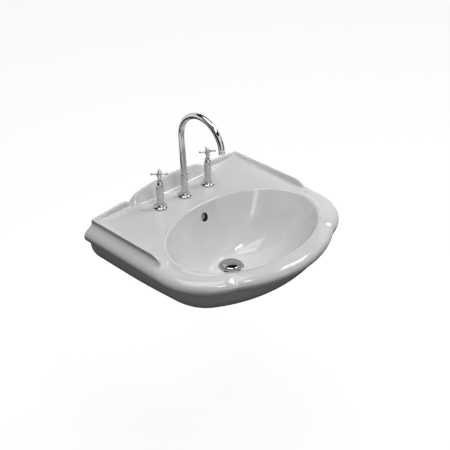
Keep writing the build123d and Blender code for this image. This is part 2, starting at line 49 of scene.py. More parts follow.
def make_piece(name, mesh_data, body, material, stands_for=(), lining=None, lined=0):
    """Mesh object from (vertices in millimetres, index rows), shaded smooth but for real edges.

    The last faces, as many as lined says, are given the lining's material.
    """
    vertices, faces = mesh_data
    mesh = bpy.data.meshes.new(name)
    mesh.from_pydata((np.asarray(vertices) * 0.001).tolist(), [], np.asarray(faces).tolist())
    mesh.materials.append(material)
    if lining:
        mesh.materials.append(lining)
        in_lining = np.arange(len(faces)) >= len(faces) - lined
        mesh.polygons.foreach_set("material_index", in_lining.astype(int))
    welded = bmesh.new()
    welded.from_mesh(mesh)
    bmesh.ops.remove_doubles(welded, verts=welded.verts, dist=1e-6)
    welded.to_mesh(mesh)
    welded.free()
    mesh.shade_smooth()
    mesh.set_sharp_from_angle(angle=math.radians(38))
    piece = bpy.data.objects.new(name, mesh)
    bpy.context.scene.collection.objects.link(piece)
    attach(piece, body)
    if stands_for:
        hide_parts(*stands_for)
    return piece


def grid_faces(rows, columns, close_rows, close_columns):
    """Quads of a grid of rows by columns numbered row by row, joined end to start where asked."""
    r = np.arange(rows if close_rows else rows - 1)
    c = np.arange(columns if close_columns else columns - 1)
    r0, c0 = np.meshgrid(r, c, indexing="ij")
    r1 = (r0 + 1) % rows
    c1 = (c0 + 1) % columns
    quads = np.stack([r0 * columns + c0, r0 * columns + c1, r1 * columns + c1, r1 * columns + c0], axis=-1)
    return quads.reshape(-1, 4)


def smooth(low, high, value):
    """Smooth step from 0 at low to 1 at high."""
    t = np.clip((value - low) / (high - low), 0, 1)
    return t * t * (3 - 2 * t)


def bend(start, corner, end, share):
    """Point on the quadratic curve from start to end with the corner as its control point."""
    return (1 - share) ** 2 * start + 2 * share * (1 - share) * corner + share**2 * end


# plan of the outer edge: an arc round each front corner, and a front arc that meets them at the creases
half_width = 335.0
depth = 580.0
lobe_y = -344.0
lobe_radius = 180.0
front_radius = 362.0
lobe_x = half_width - lobe_radius
front_y = front_radius - depth

# points on half of a loop, closer together at the crest's notch and at the tip of the ridge
back_count = 96
side_count = 56
lobe_count = 36
front_count = 36
back_part = np.interp(np.arange(back_count) / back_count, (0, 0.3, 0.75, 1), (0, 0.43, 0.645, 1))
side_part = np.interp(np.arange(side_count) / side_count, (0, 0.45, 0.9, 1), (0, 0.785, 0.925, 1))
lobe_part = np.arange(lobe_count) / lobe_count
front_part = np.linspace(0, 1, front_count)


def both_halves(x, y):
    """Closed loop from its right half, which runs from the back middle to the front middle."""
    return np.concatenate([x, -x[-2:0:-1]]), np.concatenate([y, y[-2:0:-1]])


def arc_loop(inset, back_inset, corner, corner_end, front, centre_y, front_start):
    """Loop of the back line, the side line, the corner arc and half of the front arc, mirrored."""
    side = half_width - inset
    turn = corner_end * lobe_part
    sweep = front_start + (-math.pi / 2 - front_start) * front_part
    x = np.concatenate([side * back_part, np.full(side_count, side), lobe_x + corner * np.cos(turn),
                        front * np.cos(sweep)])
    y = np.concatenate([np.full(back_count, -back_inset), -back_inset + (lobe_y + back_inset) * side_part,
                        lobe_y + corner * np.sin(turn), centre_y + front * np.sin(sweep)])
    x[-1] = 0.0
    return both_halves(x, y)


def lobed_loop(inset):
    """Plan loop of the roll drawn in by inset: straight back and side, corner arc and front arc.

    The arcs are circles round (lobe_x, lobe_y) and (0, front_y), and they meet where the circles cross.
    """
    corner = lobe_radius - inset
    front = front_radius - inset
    dx, dy = -lobe_x, front_y - lobe_y
    apart = math.hypot(dx, dy)
    to_chord = (corner**2 - front**2 + apart**2) / (2 * apart)
    half_chord = math.sqrt(corner**2 - to_chord**2)
    crease_x = lobe_x + (to_chord * dx - half_chord * dy) / apart
    crease_y = lobe_y + (to_chord * dy + half_chord * dx) / apart
    corner_end = math.atan2(crease_y - lobe_y, crease_x - lobe_x)
    front_start = math.atan2(crease_y - front_y, crease_x)
    return arc_loop(inset, 0.0, corner, corner_end, front, front_y, front_start)


# edge of the deck, where each point's place decides what the casting does there
deck_inset = 31.0
deck_thickness = 14.0
deck_half = half_width - deck_inset
edge_x, edge_y = lobed_loop(deck_inset)
column_count = edge_x.size
column = np.minimum(np.arange(column_count), column_count - np.arange(column_count))
on_back = column < back_count
on_side = (column >= back_count) & (column < back_count + side_count)
hand = np.sign(edge_x)
from_middle = np.abs(edge_x)
from_wall = -edge_y


def loop_points(x, y, z):
    """Points of a loop, whose level z is one number or one for each point."""
    return np.stack([x, y, np.broadcast_to(z, x.shape)], axis=-1)


bowl_half_width = 262.0
bowl_half_length = 186.0
bowl_y = -340.0
bowl_floor = -164.0
bowl_curve = 2.3
bowl_first = 0.225
bowl_last = 0.245
bowl_wall = 13.0
lip_round = 9.0
lip_turn = math.radians(62)
drain_y = -288.0
drain_radius = 23.0
drain_seat = -168.0
recess_radius = 39.0
boss_radius = 46.0
boss_bottom = -200.0


def bowl_middle(scale):
    """y of the middle of the bowl's ellipse, which moves to the drain as the scale falls."""
    return bowl_y + (drain_y - bowl_y) * ((1 - scale) / (1 - bowl_last)) ** 1.5


def bowl_loop(scale, wider=0.0):
    """Ellipse of the bowl at a scale, sampled in the directions from its middle to the deck's edge."""
    half_x = bowl_half_width * scale + wider
    half_y = bowl_half_length * scale + wider
    dx, dy = edge_x, edge_y - bowl_y
    stretch = 1 / np.sqrt((dx / half_x) ** 2 + (dy / half_y) ** 2)
    return dx * stretch, bowl_middle(scale) + dy * stretch


def bowl_scale(level, floor):
    """Scale of the bowl's ellipse at a level: 1 less a power of the scale is the share of the depth."""
    return (1 - np.clip(level / floor, 0, 1) * (1 - bowl_last**bowl_curve)) ** (1 / bowl_curve)


def bowl_level(scale, floor):
    """Level of the bowl's wall at a scale, eased into the flat floor by a soft maximum."""
    wall = (1 - scale**bowl_curve) / (1 - bowl_last**bowl_curve) * floor
    return floor + 2 * np.log1p(np.exp((wall - floor) / 2))


def drain_loop(radius, z):
    """Circle round the drain in the directions from the bowl's middle to the deck's edge."""
    turn = np.arctan2(edge_y - bowl_y, edge_x)
    return loop_points(radius * np.cos(turn), drain_y + radius * np.sin(turn), z)


def bowl_loops():
    """Loops up the drain hole, over its seat and recess, up the bowl's wall and round the lip."""
    loops = [drain_loop(drain_radius, z) for z in (boss_bottom + 4, boss_bottom + 18, drain_seat - 1)]
    loops += [drain_loop(radius, drain_seat) for radius in (drain_radius + 1, 31, recess_radius - 1)]
    loops += [drain_loop(recess_radius, drain_seat + rise) for rise in (1, 2.5)]
    loops.append(drain_loop(recess_radius + 1, bowl_floor - 0.3))
    lip_scale = float(bowl_scale(lip_round * (math.cos(lip_turn) - 1), bowl_floor))
    for scale in np.linspace(bowl_first, lip_scale, 48):
        loops.append(loop_points(*bowl_loop(scale), bowl_level(scale, bowl_floor)))
    for turn in np.linspace(lip_turn, 0, 9)[1:]:
        wider = lip_round * (math.sin(lip_turn) - math.sin(turn))
        loops.append(loop_points(*bowl_loop(lip_scale, wider), lip_round * (math.cos(turn) - 1)))
    return loops


# rim along the wall: low at the corners, then a notch and the crest; each step of the crest's fall
# has where it starts and ends and how far it goes down
rim_low = 10.0
rim_climb = 10.0
rim_run = 110.0
hump_width = 29.0
notch_x = 161.0
notch_height = 8.0
crest_height = 44.5
crest_shoulder = 122.0
crest_steps = ((0, 60, 2.5), (50, 100, 4.5), (90, 130, 5.5))

# section of the rim and the side ridges: distances from the outer edge of the top's inner corner, the
# face's foot and the hollow along the deck, which runs wider into the corner
rim_top = 9.0
rim_foot = 14.0
rim_hollow = 12.0
crest_foot = 31.0
corner_start = 260.0
corner_hollow = 20.0
hollow_start = 200.0
mitre_start = 190.0
ridge_top = 6.0
ridge_foot = 16.0
ridge_end_foot = 10.0
ridge_hollow = 7.0
ridge_hollow_run = 90.0
ridge_foot_run = 280.0
ridge_top_taper = 1 / 300
ridge_low = 10.0
ridge_climb = 0.032
ridge_full = 272.0
ridge_end = 332.0
edge_round = 2.2


def rim_height(x):
    """Top of the back rim: it climbs from the corners, rounds off to a notch, then swells to the crest."""
    line = rim_low + rim_climb * np.clip((deck_half - x) / rim_run, 0, 1)
    into_notch = np.clip(notch_x + hump_width - x, 0, hump_width) / hump_width
    hump = notch_height + (line - notch_height) * np.sqrt(1 - into_notch**2)
    crown = crest_height - sum(fall * smooth(start, end, x) for start, end, fall in crest_steps)
    shoulder = np.clip((x - crest_shoulder) / (notch_x - crest_shoulder), 0, 1)
    shoulder_fall = crest_height - sum(fall for start, end, fall in crest_steps) - notch_height
    return np.where(x < notch_x, crown - shoulder_fall * shoulder**1.7, hump)


def ridge_section():
    """Cross-section of the rim and ridges at each column: distances in from the outer edge and heights.

    A hollow at the foot, a leaning face and a rounded top; where the height is 0 it is the flat deck.
    """
    into_corner = smooth(corner_start, deck_half, from_middle)
    under_crest = smooth(notch_x + 5, notch_x - 5, from_middle)
    ridge_height = (ridge_low + ridge_climb * from_wall) * smooth(ridge_end, ridge_full, from_wall)
    height = np.where(on_back, rim_height(from_middle), np.where(on_side, ridge_height, 0))
    back_foot = rim_foot + (crest_foot - rim_foot) * under_crest + (ridge_foot - rim_foot) * into_corner
    side_foot = ridge_foot + (ridge_end_foot - ridge_foot) * np.clip(from_wall / ridge_foot_run, 0, 1)
    foot = np.where(on_back, back_foot, np.where(on_side, side_foot, ridge_end_foot))
    back_top = rim_top + (ridge_top - rim_top) * into_corner
    top = np.where(on_back, back_top, ridge_top - ridge_top_taper * from_wall)
    back_hollow = rim_hollow + (corner_hollow - rim_hollow) * smooth(hollow_start, deck_half, from_middle)
    side_hollow = ridge_hollow + (corner_hollow - ridge_hollow) * smooth(ridge_hollow_run, 0, from_wall)
    strip = np.where(on_back, back_hollow, np.where(on_side, side_hollow, ridge_hollow))
    face = np.stack([top - foot, height])
    length = np.hypot(*face)
    way = face / length
    low = np.stack([foot, 0 * foot])
    high = np.stack([top, height])
    level = np.array([[1.0], [0.0]])
    turn = np.minimum(edge_round, 0.45 * length)
    rise = np.minimum(strip, 0.3 * length)
    rows = [bend(low + level * strip, low, low + way * rise, share) for share in np.linspace(0, 1, 9)]
    rows += [low + way * (rise + (length - turn - rise) * share) for share in (0.33, 0.67)]
    rows += [bend(high - way * turn, high, high - level * turn, share) for share in np.linspace(0, 1, 7)]
    drop = np.clip(height / 3, 0, 1)
    for inward, down in ((1.2, 0), (0.35, 0.35), (0, 1.2)):
        rows.append(np.stack([np.full(column_count, inward), height - drop * down]))
    return np.stack(rows)


# roll along the edge, which climbs towards the front; sharp is 1 where a ridge stands on it and 0 over
# the lobes, whose broader tops are parted by a groove at each crease
roll_reach = 27.0
roll_rise = 24.0
roll_level = -38.5
roll_slope = 15 / depth
roll_inset = 15.0
roll_end = math.radians(-82)
lobe_reach = 38.0
crease_depth = 6.0
crease_width = 12.0
crease_start = 42.0
crease_full = 12.0
sharp_height = 8.0
face_share = 0.25
face_end = 15.0
face_corner = 4.5
face_join = -2.5

section = ridge_section()
ridge_edge = section[-1, 1]
sharp = np.clip(ridge_edge / sharp_height, 0, 1)
roll_base = roll_level - roll_slope * edge_y
roll_top = roll_base + roll_rise
crease = back_count + side_count + lobe_count
from_crease = np.hypot(from_middle - edge_x[crease], edge_y - edge_y[crease])
groove = crease_depth * np.exp(-(from_crease / crease_width) ** 2)


def lobe_top(inset):
    """Top of the roll over the lobes: a quarter ellipse as wide as lobe_reach, less the crease's groove."""
    arch = math.sqrt(1 - max(1 - inset / lobe_reach, 0.0) ** 2)
    return roll_base + roll_rise * arch - groove * arch * smooth(crease_start, crease_full, inset)


def deck_loops(lip):
    """Loops from the lip across the deck, then up and over the rim and ridges to their outer edge.

    Where no ridge stands, the deck climbs to the top of the lobes instead.
    """
    corner_in = section[:, 0, back_count]
    front_in = section[:, 0, column_count // 2]
    crossing = []
    for (inward, height), corner, front in zip(section, corner_in, front_in):
        x, y = lobed_loop(deck_inset + front)
        x = np.where(on_back, edge_x - hand * corner * smooth(mitre_start, deck_half, from_middle), x)
        y = np.where(on_back, -inward, y)
        x = np.where(on_side, hand * (deck_half - inward), x)
        y = np.where(on_side, edge_y - corner * (1 + from_wall / lobe_y), y)
        crossing.append(loop_points(x, y, height * sharp + (1 - sharp) * lobe_top(deck_inset + front)))
    deck = []
    for share in np.linspace(0, 1, 15)[1:-1]:
        x, y = (lip + (crossing[0] - lip) * share)[:, :2].T
        deck.append(loop_points(x, y, (1 - sharp) * roll_top * smooth(0.1, 1, share)))
    return deck + crossing


def roll_loops():
    """Loops down the ridges' outer face, through the hollow at its foot and round the roll.

    The face is upright, then a quadratic curve onto the roll; the roll is an ellipse, with lobe_top over it.
    """
    loops = []
    start = np.minimum(ridge_edge, roll_top + face_end)
    for share in np.linspace(0, 1, 13)[1:]:
        fall = min(share / face_share, 1.0)
        curve = max((share - face_share) / (1 - face_share), 0.0)
        flat_inset = deck_inset + (roll_inset - deck_inset) * share
        sharp_inset = deck_inset + (roll_inset - deck_inset) * curve**2
        inset = sharp * sharp_inset + (1 - sharp) * flat_inset
        hollow = bend(start, roll_top + face_corner, roll_top + face_join, curve)
        sharp_z = (ridge_edge - start) * (1 - fall) + hollow
        x, y = lobed_loop(flat_inset)
        x = np.where(on_back | on_side, x * (half_width - inset) / (half_width - flat_inset), x)
        loops.append(loop_points(x, y, sharp * sharp_z + (1 - sharp) * lobe_top(flat_inset)))
    for turn in np.linspace(math.acos(1 - roll_inset / roll_reach), roll_end, 32)[1:]:
        inset = roll_reach * (1 - math.cos(turn))
        round_z = roll_base + roll_rise * math.sin(turn)
        lobe_z = lobe_top(inset) if turn > 0 else round_z
        loops.append(loop_points(*lobed_loop(inset), sharp * round_z + (1 - sharp) * lobe_z))
    return loops


# apron under the roll, a wall that curves in towards its foot, and the wall behind it
apron_inset = 21.0
apron_tuck = 61.0
apron_curve = 2.2
apron_top = -62.0
apron_drop = 101.0
apron_wall = 10.0
apron_setback = 6.0
apron_lobes_end = 0.4
apron_lobed_inset = 40.0
apron_narrowing = 0.08
narrowing_start = 150.0
narrowing_end = 480.0
apron_shortening = 0.11
back_wall = 15.0


def smooth_loop(inset, back_inset=0.0):
    """Plan loop of the apron drawn in by inset: the roll's, with a front arc tangent to the corners."""
    corner = lobe_radius - inset
    front_reach = depth - inset - apron_setback
    reach = front_reach + lobe_y
    front = (lobe_x**2 + reach**2 - corner**2) / (2 * (reach - corner))
    centre_y = front - front_reach
    corner_end = math.atan2(lobe_y - centre_y, lobe_x)
    return arc_loop(inset, back_inset, corner, corner_end, front, centre_y, corner_end)


def apron_points(x, y, share, level):
    """Apron loop with its lobes and front drawn in by the share of its height, at a climbing level."""
    narrower = x * (1 - apron_narrowing * share * smooth(narrowing_start, narrowing_end, -y))
    shorter = np.where(y < lobe_y, lobe_y + (y - lobe_y) * (1 - apron_shortening * share), y)
    return loop_points(narrower, shorter, level - roll_slope * y)


def apron_loops():
    """Loops down the apron, whose lobes die out below the roll, round its foot and up its inside."""
    loops = []
    for share in np.linspace(0.03, 1, 28):
        inset = apron_inset + apron_tuck * share**apron_curve
        lobes = 1 - smooth(0, apron_lobes_end, share)
        lobed = np.multiply(lobed_loop(min(inset, apron_lobed_inset)), lobes)
        x, y = lobed + np.multiply(smooth_loop(inset), 1 - lobes)
        loops.append(apron_points(x, y, share, apron_top - apron_drop * share))
    foot_inset = apron_inset + apron_tuck
    foot_level = apron_top - apron_drop
    for further, back_inset, down in ((2.5, 2, 1.3), (7.5, 12, 1.3), (apron_wall, back_wall, 0)):
        x, y = smooth_loop(foot_inset + further, back_inset)
        loops.append(apron_points(x, y, 1, foot_level - down))
    for share in np.linspace(1, 0, 12):
        x, y = smooth_loop(apron_inset + apron_wall + apron_tuck * share**apron_curve, back_wall)
        loops.append(apron_points(x, y, share, apron_top + apron_wall - apron_drop * share))
    return loops


def underside_loops():
    """Loops under the deck, down the outside of the bowl and round the drain's boss."""
    under_floor = bowl_floor - bowl_wall
    under_scale = float(bowl_scale(-deck_thickness, under_floor))
    inner = loop_points(*smooth_loop(apron_inset + apron_wall + 3, back_wall), -deck_thickness)
    outer = loop_points(*bowl_loop(under_scale, bowl_wall), -deck_thickness)
    loops = [inner + (outer - inner) * share for share in (0, 0.35, 0.7)]
    for scale in np.linspace(under_scale, bowl_last, 20):
        loops.append(loop_points(*bowl_loop(scale, bowl_wall), bowl_level(scale, under_floor)))
    for radius, z in ((boss_radius + 1, under_floor - 1), (boss_radius, under_floor - 3),
                      (boss_radius, boss_bottom + 1.5), (boss_radius - 1.5, boss_bottom),
                      (drain_radius + 1, boss_bottom), (drain_radius, boss_bottom + 1)):
        loops.append(drain_loop(radius, z))
    return loops


overflow_z = -40.0
overflow_radius = 13.2
overflow_depth = 18.0
overflow_window = 18.0
overflow_columns = 9


def bowl_back_y(x, z):
    """The bowl's back wall: y of its ellipse at a level."""
    scale = bowl_scale(z, bowl_floor)
    return bowl_middle(scale) + bowl_half_length * scale * np.sqrt(1 - (x / (bowl_half_width * scale)) ** 2)


def overflow_rings(edge):
    """Rings from the edge of the window in the bowl's wall to the overflow's rounded rim, throat and end."""
    turn = np.arctan2(edge[:, 2] - overflow_z, edge[:, 0])
    rim_x, rim_z = np.cos(turn), np.sin(turn)
    widest = overflow_radius + 2
    rings = []
    for share in (0.35, 0.7):
        x = edge[:, 0] + (widest * rim_x - edge[:, 0]) * share
        z = edge[:, 2] + (overflow_z + widest * rim_z - edge[:, 2]) * share
        rings.append(loop_points(x, bowl_back_y(x, z), z))
    for wider, deep in ((2, 0), (1.2, 0.2), (0.4, 0.7), (0, 1.5), (0, 8), (0, overflow_depth),
                        (-overflow_radius, overflow_depth)):
        x = (overflow_radius + wider) * rim_x
        z = overflow_z + (overflow_radius + wider) * rim_z
        rings.append(loop_points(x, bowl_back_y(x, z) + deep, z))
    return rings


def basin_mesh():
    """Casting as one closed grid of loops, with a window of quads swapped for the overflow's round hole.

    Gives the mesh and the count of its last faces, which line the overflow's throat and carry its painted
    shade.
    """
    bowl = bowl_loops()
    loops = np.stack(bowl + deck_loops(bowl[-1]) + roll_loops() + apron_loops() + underside_loops())
    rows, columns = loops.shape[:2]
    back_level = loops[:, 0, 2]
    low = int(np.flatnonzero(back_level > overflow_z - overflow_window)[0]) - 1
    high = int(np.flatnonzero(back_level > overflow_z + overflow_window)[0])
    reach = overflow_columns
    quads = grid_faces(rows, columns, True, True)
    row = quads[:, 0] // columns
    from_left = (quads[:, 0] % columns + reach) % columns
    window = (row >= low) & (row < high) & (from_left < 2 * reach)
    up = np.arange(low, high) * columns
    border = np.concatenate([low * columns + np.arange(-reach, reach) % columns, up + reach,
                             high * columns + np.arange(reach, -reach, -1) % columns,
                             up[::-1] + columns + (-reach % columns)])
    vertices = loops.reshape(-1, 3)
    rings = overflow_rings(vertices[border])
    ring_faces = grid_faces(len(rings), border.size, False, True) + len(vertices)
    start = np.arange(border.size)
    onward = (start + 1) % border.size
    seam = np.stack([border, border[onward], len(vertices) + onward, len(vertices) + start], axis=-1)
    faces = np.concatenate([quads[~window], seam, ring_faces])
    return (np.concatenate([vertices, *rings]), faces), 3 * border.size


def colour(hex_code):
    """Linear RGBA of an sRGB hex code."""
    srgb = np.array([int(hex_code[i:i + 2], 16) for i in (0, 2, 4)]) / 255
    linear = np.where(srgb <= 0.04045, srgb / 12.92, ((srgb + 0.055) / 1.055) ** 2.4)
    return (*linear.tolist(), 1.0)


def new_material(name):
    """Node material, its node tree and its principled shader."""
    material = bpy.data.materials.new(name)
    material.use_nodes = True
    tree = material.node_tree
    return material, tree, tree.nodes["Principled BSDF"]


def add_node(tree, kind, links=(), **settings):
    """Node of a kind with its inputs or properties set, and with (output, input name) links into it."""
    node = tree.nodes.new(kind)
    for key, value in settings.items():
        if key in node.inputs:
            node.inputs[key].default_value = value
        else:
            setattr(node, key, value)
    for output, socket in links:
        tree.links.new(output, node.inputs[socket])
    return node


def mottled(tree, shader, place, patch, first, second):
    """Base colour that drifts between two hex codes in soft patches, whose size is in millimetres."""
    noise = add_node(tree, "ShaderNodeTexNoise", [(place, "Vector")], Scale=1000 / patch, Detail=3.0)
    tint = add_node(tree, "ShaderNodeValToRGB", [(noise.outputs["Fac"], "Fac")])
    tint.color_ramp.elements[0].position = 0.35
    tint.color_ramp.elements[0].color = colour(first)
    tint.color_ramp.elements[1].position = 0.65
    tint.color_ramp.elements[1].color = colour(second)
    tree.links.new(tint.outputs["Color"], shader.inputs["Base Color"])


def uneven(tree, shader, place, wave, height):
    """Relief on the surface, in waves of a length and height in millimetres."""
    ripple = add_node(tree, "ShaderNodeTexNoise", [(place, "Vector")], Scale=1000 / wave, Detail=1.0)
    bump = add_node(tree, "ShaderNodeBump", [(ripple.outputs["Fac"], "Height")], Distance=height / 1000)
    tree.links.new(bump.outputs["Normal"], shader.inputs["Normal"])


def china_material():
    """Vitreous china: an opaque white body under a clear, hard glaze, fired glossy.

    The glaze lies in waves of an inch or so, which make its reflections waver a little.
    """
    material, tree, shader = new_material("glazed vitreous china")
    place = add_node(tree, "ShaderNodeTexCoord").outputs["Object"]
    mottled(tree, shader, place, 111.1, "D6D6D5", "DADAD9")
    uneven(tree, shader, place, 26.3, 0.05)
    shader.inputs["Roughness"].default_value = 0.09
    shader.inputs["IOR"].default_value = 1.52
    return material


def painted_shade_throat_material():
    """Overflow's throat: matt like unglazed china, with its near-black colour painted shade for the want of
    light deep in the hole.
    """
    material, tree, shader = new_material("overflow throat with painted shade")
    place = add_node(tree, "ShaderNodeTexCoord").outputs["Object"]
    # near-black colours: painted shade of the deep hole, not the unglazed china's own pale colour
    mottled(tree, shader, place, 8.33, "1C1B1A", "262524")
    shader.inputs["Roughness"].default_value = 0.9
    return material


china = china_material()
casting, throat_count = basin_mesh()
# the throat's faces get a material whose dark colour is painted shade
make_piece("basin_casting", casting, "basin_fixed", china, ["basin"], painted_shade_throat_material(),
           throat_count)


# Overflow: a channel cast behind the bowl's back wall, from the round hole down to the drain.
# Outside it shows as a rib under the deck.

rib_radius = 14.8
rib_bend = 18.0


def softened(points, radius, steps=5):
    """Line with each inner corner swapped for a curve that starts and ends up to radius away from it.

    Each curve is the quadratic through the two cut points with the corner as its control point.
    """
    points = np.asarray(points, float)
    before, corner, after = points[:-2], points[1:-1], points[2:]
    back, ahead = before - corner, after - corner
    back_length = np.linalg.norm(back, axis=1, keepdims=True)
    ahead_length = np.linalg.norm(ahead, axis=1, keepdims=True)
    cut = np.minimum(radius, 0.45 * np.minimum(back_length, ahead_length))
    first = corner + back / back_length * cut
    last = corner + ahead / ahead_length * cut
    t = np.linspace(0, 1, steps)[None, :, None]
    curve = bend(first[:, None], corner[:, None], last[:, None], t)
    return np.concatenate([points[:1], curve.reshape(-1, 2), points[-1:]])


def tube_along(line, radius, count=56):
    """Round tube: a circle carried along a line of (y, z) in the plane x = 0, square to it at each point."""
    way = np.gradient(line, axis=0)
    way /= np.linalg.norm(way, axis=1, keepdims=True)
    turn = np.arange(count) * 2 * math.pi / count
    sideways = np.stack([way[:, 1], -way[:, 0]], axis=-1)
    yz = line[:, None] + radius * np.sin(turn)[None, :, None] * sideways[:, None]
    x = np.broadcast_to(radius * np.cos(turn), yz.shape[:2])
    rings = np.concatenate([x[..., None], yz], axis=-1)
    ends = np.zeros((2, count, 3)) + np.insert(line[[0, -1]], 0, 0, axis=1)[:, None]
    vertices = np.concatenate([ends[:1], rings, ends[1:]])
    return vertices.reshape(-1, 3), grid_faces(len(line) + 2, count, False, True)


overflow_y = float(bowl_back_y(0.0, overflow_z))
rib_line = [(overflow_y + 20, overflow_z - 6), (-138, -56), (-179, -133), (-225, -183), (-262, -184)]
rib = softened(rib_line, rib_bend, 9)
make_piece("overflow_rib", tube_along(rib, rib_radius), "basin_fixed", china)


# Fixings of the taps: soft gaskets above and below the deck, and a steel washer and a brass backnut on
# each shank. Brass bodies carry the water; the headworks are brass cartridges with a steel screw for
# each handle.

def dress(material, *names):
    """Gives pieces of the frame a material."""
    for name in names:
        for material_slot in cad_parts[name].material_slots:
            material_slot.material = material


def metal_material(name, first, second, patch, smoothest, roughest):
    """Bare or plated metal, whose tint drifts in patches and whose polish varies in finer ones.

    The eye gets clear reflections that are hazier here and there, as on handled metal.
    """
    material, tree, shader = new_material(name)
    place = add_node(tree, "ShaderNodeTexCoord").outputs["Object"]
    mottled(tree, shader, place, patch, first, second)
    haze = add_node(tree, "ShaderNodeTexNoise", [(place, "Vector")], Scale=2 * 1000 / patch, Detail=2.0)
    rough = add_node(tree, "ShaderNodeMapRange", [(haze.outputs["Fac"], "Value")])
    rough.inputs["To Min"].default_value = smoothest
    rough.inputs["To Max"].default_value = roughest
    tree.links.new(rough.outputs["Result"], shader.inputs["Roughness"])
    shader.inputs["Metallic"].default_value = 1.0
    return material


def moulded_material(name, first, second, patch, height, roughness):
    """Moulded rubber or plastic: a dull, plain colour with a faint mottle and the mould's grain.

    The real grain is about 0.1 mm and is drawn a quarter of a patch wide, so that it shows.
    """
    material, tree, shader = new_material(name)
    place = add_node(tree, "ShaderNodeTexCoord").outputs["Object"]
    mottled(tree, shader, place, patch, first, second)
    uneven(tree, shader, place, patch / 4, height)
    shader.inputs["Roughness"].default_value = roughness
    return material


brass = metal_material("turned brass", "B79A5E", "C4A86C", 12.5, 0.22, 0.38)
steel = metal_material("zinc-plated steel", "9C9EA0", "B0B2B4", 8.33, 0.28, 0.45)
rubber = moulded_material("black moulded rubber", "1B1B1C", "242425", 6.67, 0.06, 0.75)
plastic = moulded_material("white acetal plastic", "D2D2CE", "DADAD6", 11.1, 0.03, 0.4)
chrome = metal_material("polished chrome plate", "BEC0C2", "C8CACC", 33.3, 0.03, 0.08)

for name in ("hot", "cold", "spout"):
    dress(rubber, f"{name}_gasket", f"{name}_under_gasket")
    dress(steel, f"{name}_washer")
    dress(brass, f"{name}_backnut")
for name in ("hot", "cold"):
    dress(brass, f"{name}_cartridge", f"{name}_spindle")
    dress(steel, f"{name}_handle_screw")
dress(brass, "spout_tee")
dress(rubber, "spout_o_rings")


# Feet of the taps: turned brass collars, polished and plated with nickel and chrome, flared onto the deck.
# One stands round each column and hides its gasket.

tap_y = -81.0
tap_spacing = 100.0
foot_radius = 22.0
foot_neck = 12.4
foot_bottom = 1.0
foot_edge = 4.0
foot_flare = 12.4
foot_top = 17.0
foot_bore = 11.5


def lathe(profile, origin, axis=(0, 0, 1), count=72):
    """Solid of revolution: (radius, height) rows, up the outside, turned about an axis through origin.

    Rows that start and end on the axis close by themselves; others are joined by a bore from last to first.
    """
    profile = np.asarray(profile, float)
    axis = np.asarray(axis, float) / np.linalg.norm(axis)
    side = np.cross(axis, (0.0, 1.0, 0.0) if abs(axis[1]) < 0.9 else (1.0, 0.0, 0.0))
    side /= np.linalg.norm(side)
    other = np.cross(axis, side)
    turn = np.arange(count) * 2 * math.pi / count
    outward = np.cos(turn)[:, None] * side + np.sin(turn)[:, None] * other
    radius, height = profile[:, 0, None, None], profile[:, 1, None, None]
    vertices = radius * outward + height * axis + np.asarray(origin, float)
    hollow = min(profile[0, 0], profile[-1, 0]) > 0.01
    return vertices.reshape(-1, 3), grid_faces(len(profile), count, hollow, True)


def foot_profile():
    """Flared foot: an upright edge, then a quarter of a hollow curve up to the column."""
    turn = np.linspace(0, math.pi / 2, 14)
    radius = foot_radius - (foot_radius - foot_neck) * np.sin(turn) ** 0.9
    flare = np.stack([radius, foot_edge + foot_flare * (1 - np.cos(turn)) ** 0.9], axis=-1)
    edge = softened([(12, foot_bottom), (foot_radius, foot_bottom), (foot_radius, foot_edge + 0.2),
                     (foot_radius - 0.8, foot_edge + 0.6)], 0.9)
    return np.concatenate([edge[:-1], flare[2:], [(foot_neck, foot_top), (foot_bore, foot_top)]])


for name, x in (("hot", -tap_spacing), ("spout", 0.0), ("cold", tap_spacing)):
    make_piece(f"{name}_flared_foot", lathe(foot_profile(), (x, tap_y, 0)), "basin_fixed", chrome,
               [f"{name}_foot"])


# Valves: a plain plated column, a raised ring and a bell over the headwork.
# The cross handle is a cast hub with four tapering arms, each ending in a ball, under a domed cap.

ring_bottom = 66.0
ring_top = 70.0
ring_radius = 12.8
bell_bottom = 70.3
bell_height = 23.0
bell_radius = 12.2
bell_neck = 6.6
collar_radius = 7.2
collar_top = 95.0
arm_level = 118.0
arm_reach = 23.0
ball_radius = 4.1
cap_level = 125.0
cap_radius = 5.6
cap_rise = 5.2


def joined(*meshes):
    """One (vertices, faces) pair from several."""
    starts = np.cumsum([0] + [len(vertices) for vertices, faces in meshes])
    vertices = np.concatenate([vertices for vertices, faces in meshes])
    faces = np.concatenate([faces + start for (old, faces), start in zip(meshes, starts)])
    return vertices, faces


def bell_profile():
    """Raised ring, then a bell whose radius falls along a quarter ellipse to a narrow collar."""
    turn = np.linspace(0.12, 1, 16) * math.pi / 2
    radius = bell_neck + (bell_radius - bell_neck) * np.cos(turn) ** 0.8
    bell = np.stack([radius, bell_bottom + bell_height * np.sin(turn)], axis=-1)
    ring = softened([(11.2, ring_bottom), (ring_radius, ring_bottom), (ring_radius, ring_top),
                     (11.8, ring_top + 0.2)], 0.7)
    collar = softened([(6.7, collar_top - 1.6), (collar_radius, collar_top - 1.4),
                       (collar_radius, collar_top), (4.6, collar_top)], 0.5)
    return np.concatenate([ring, bell, collar])


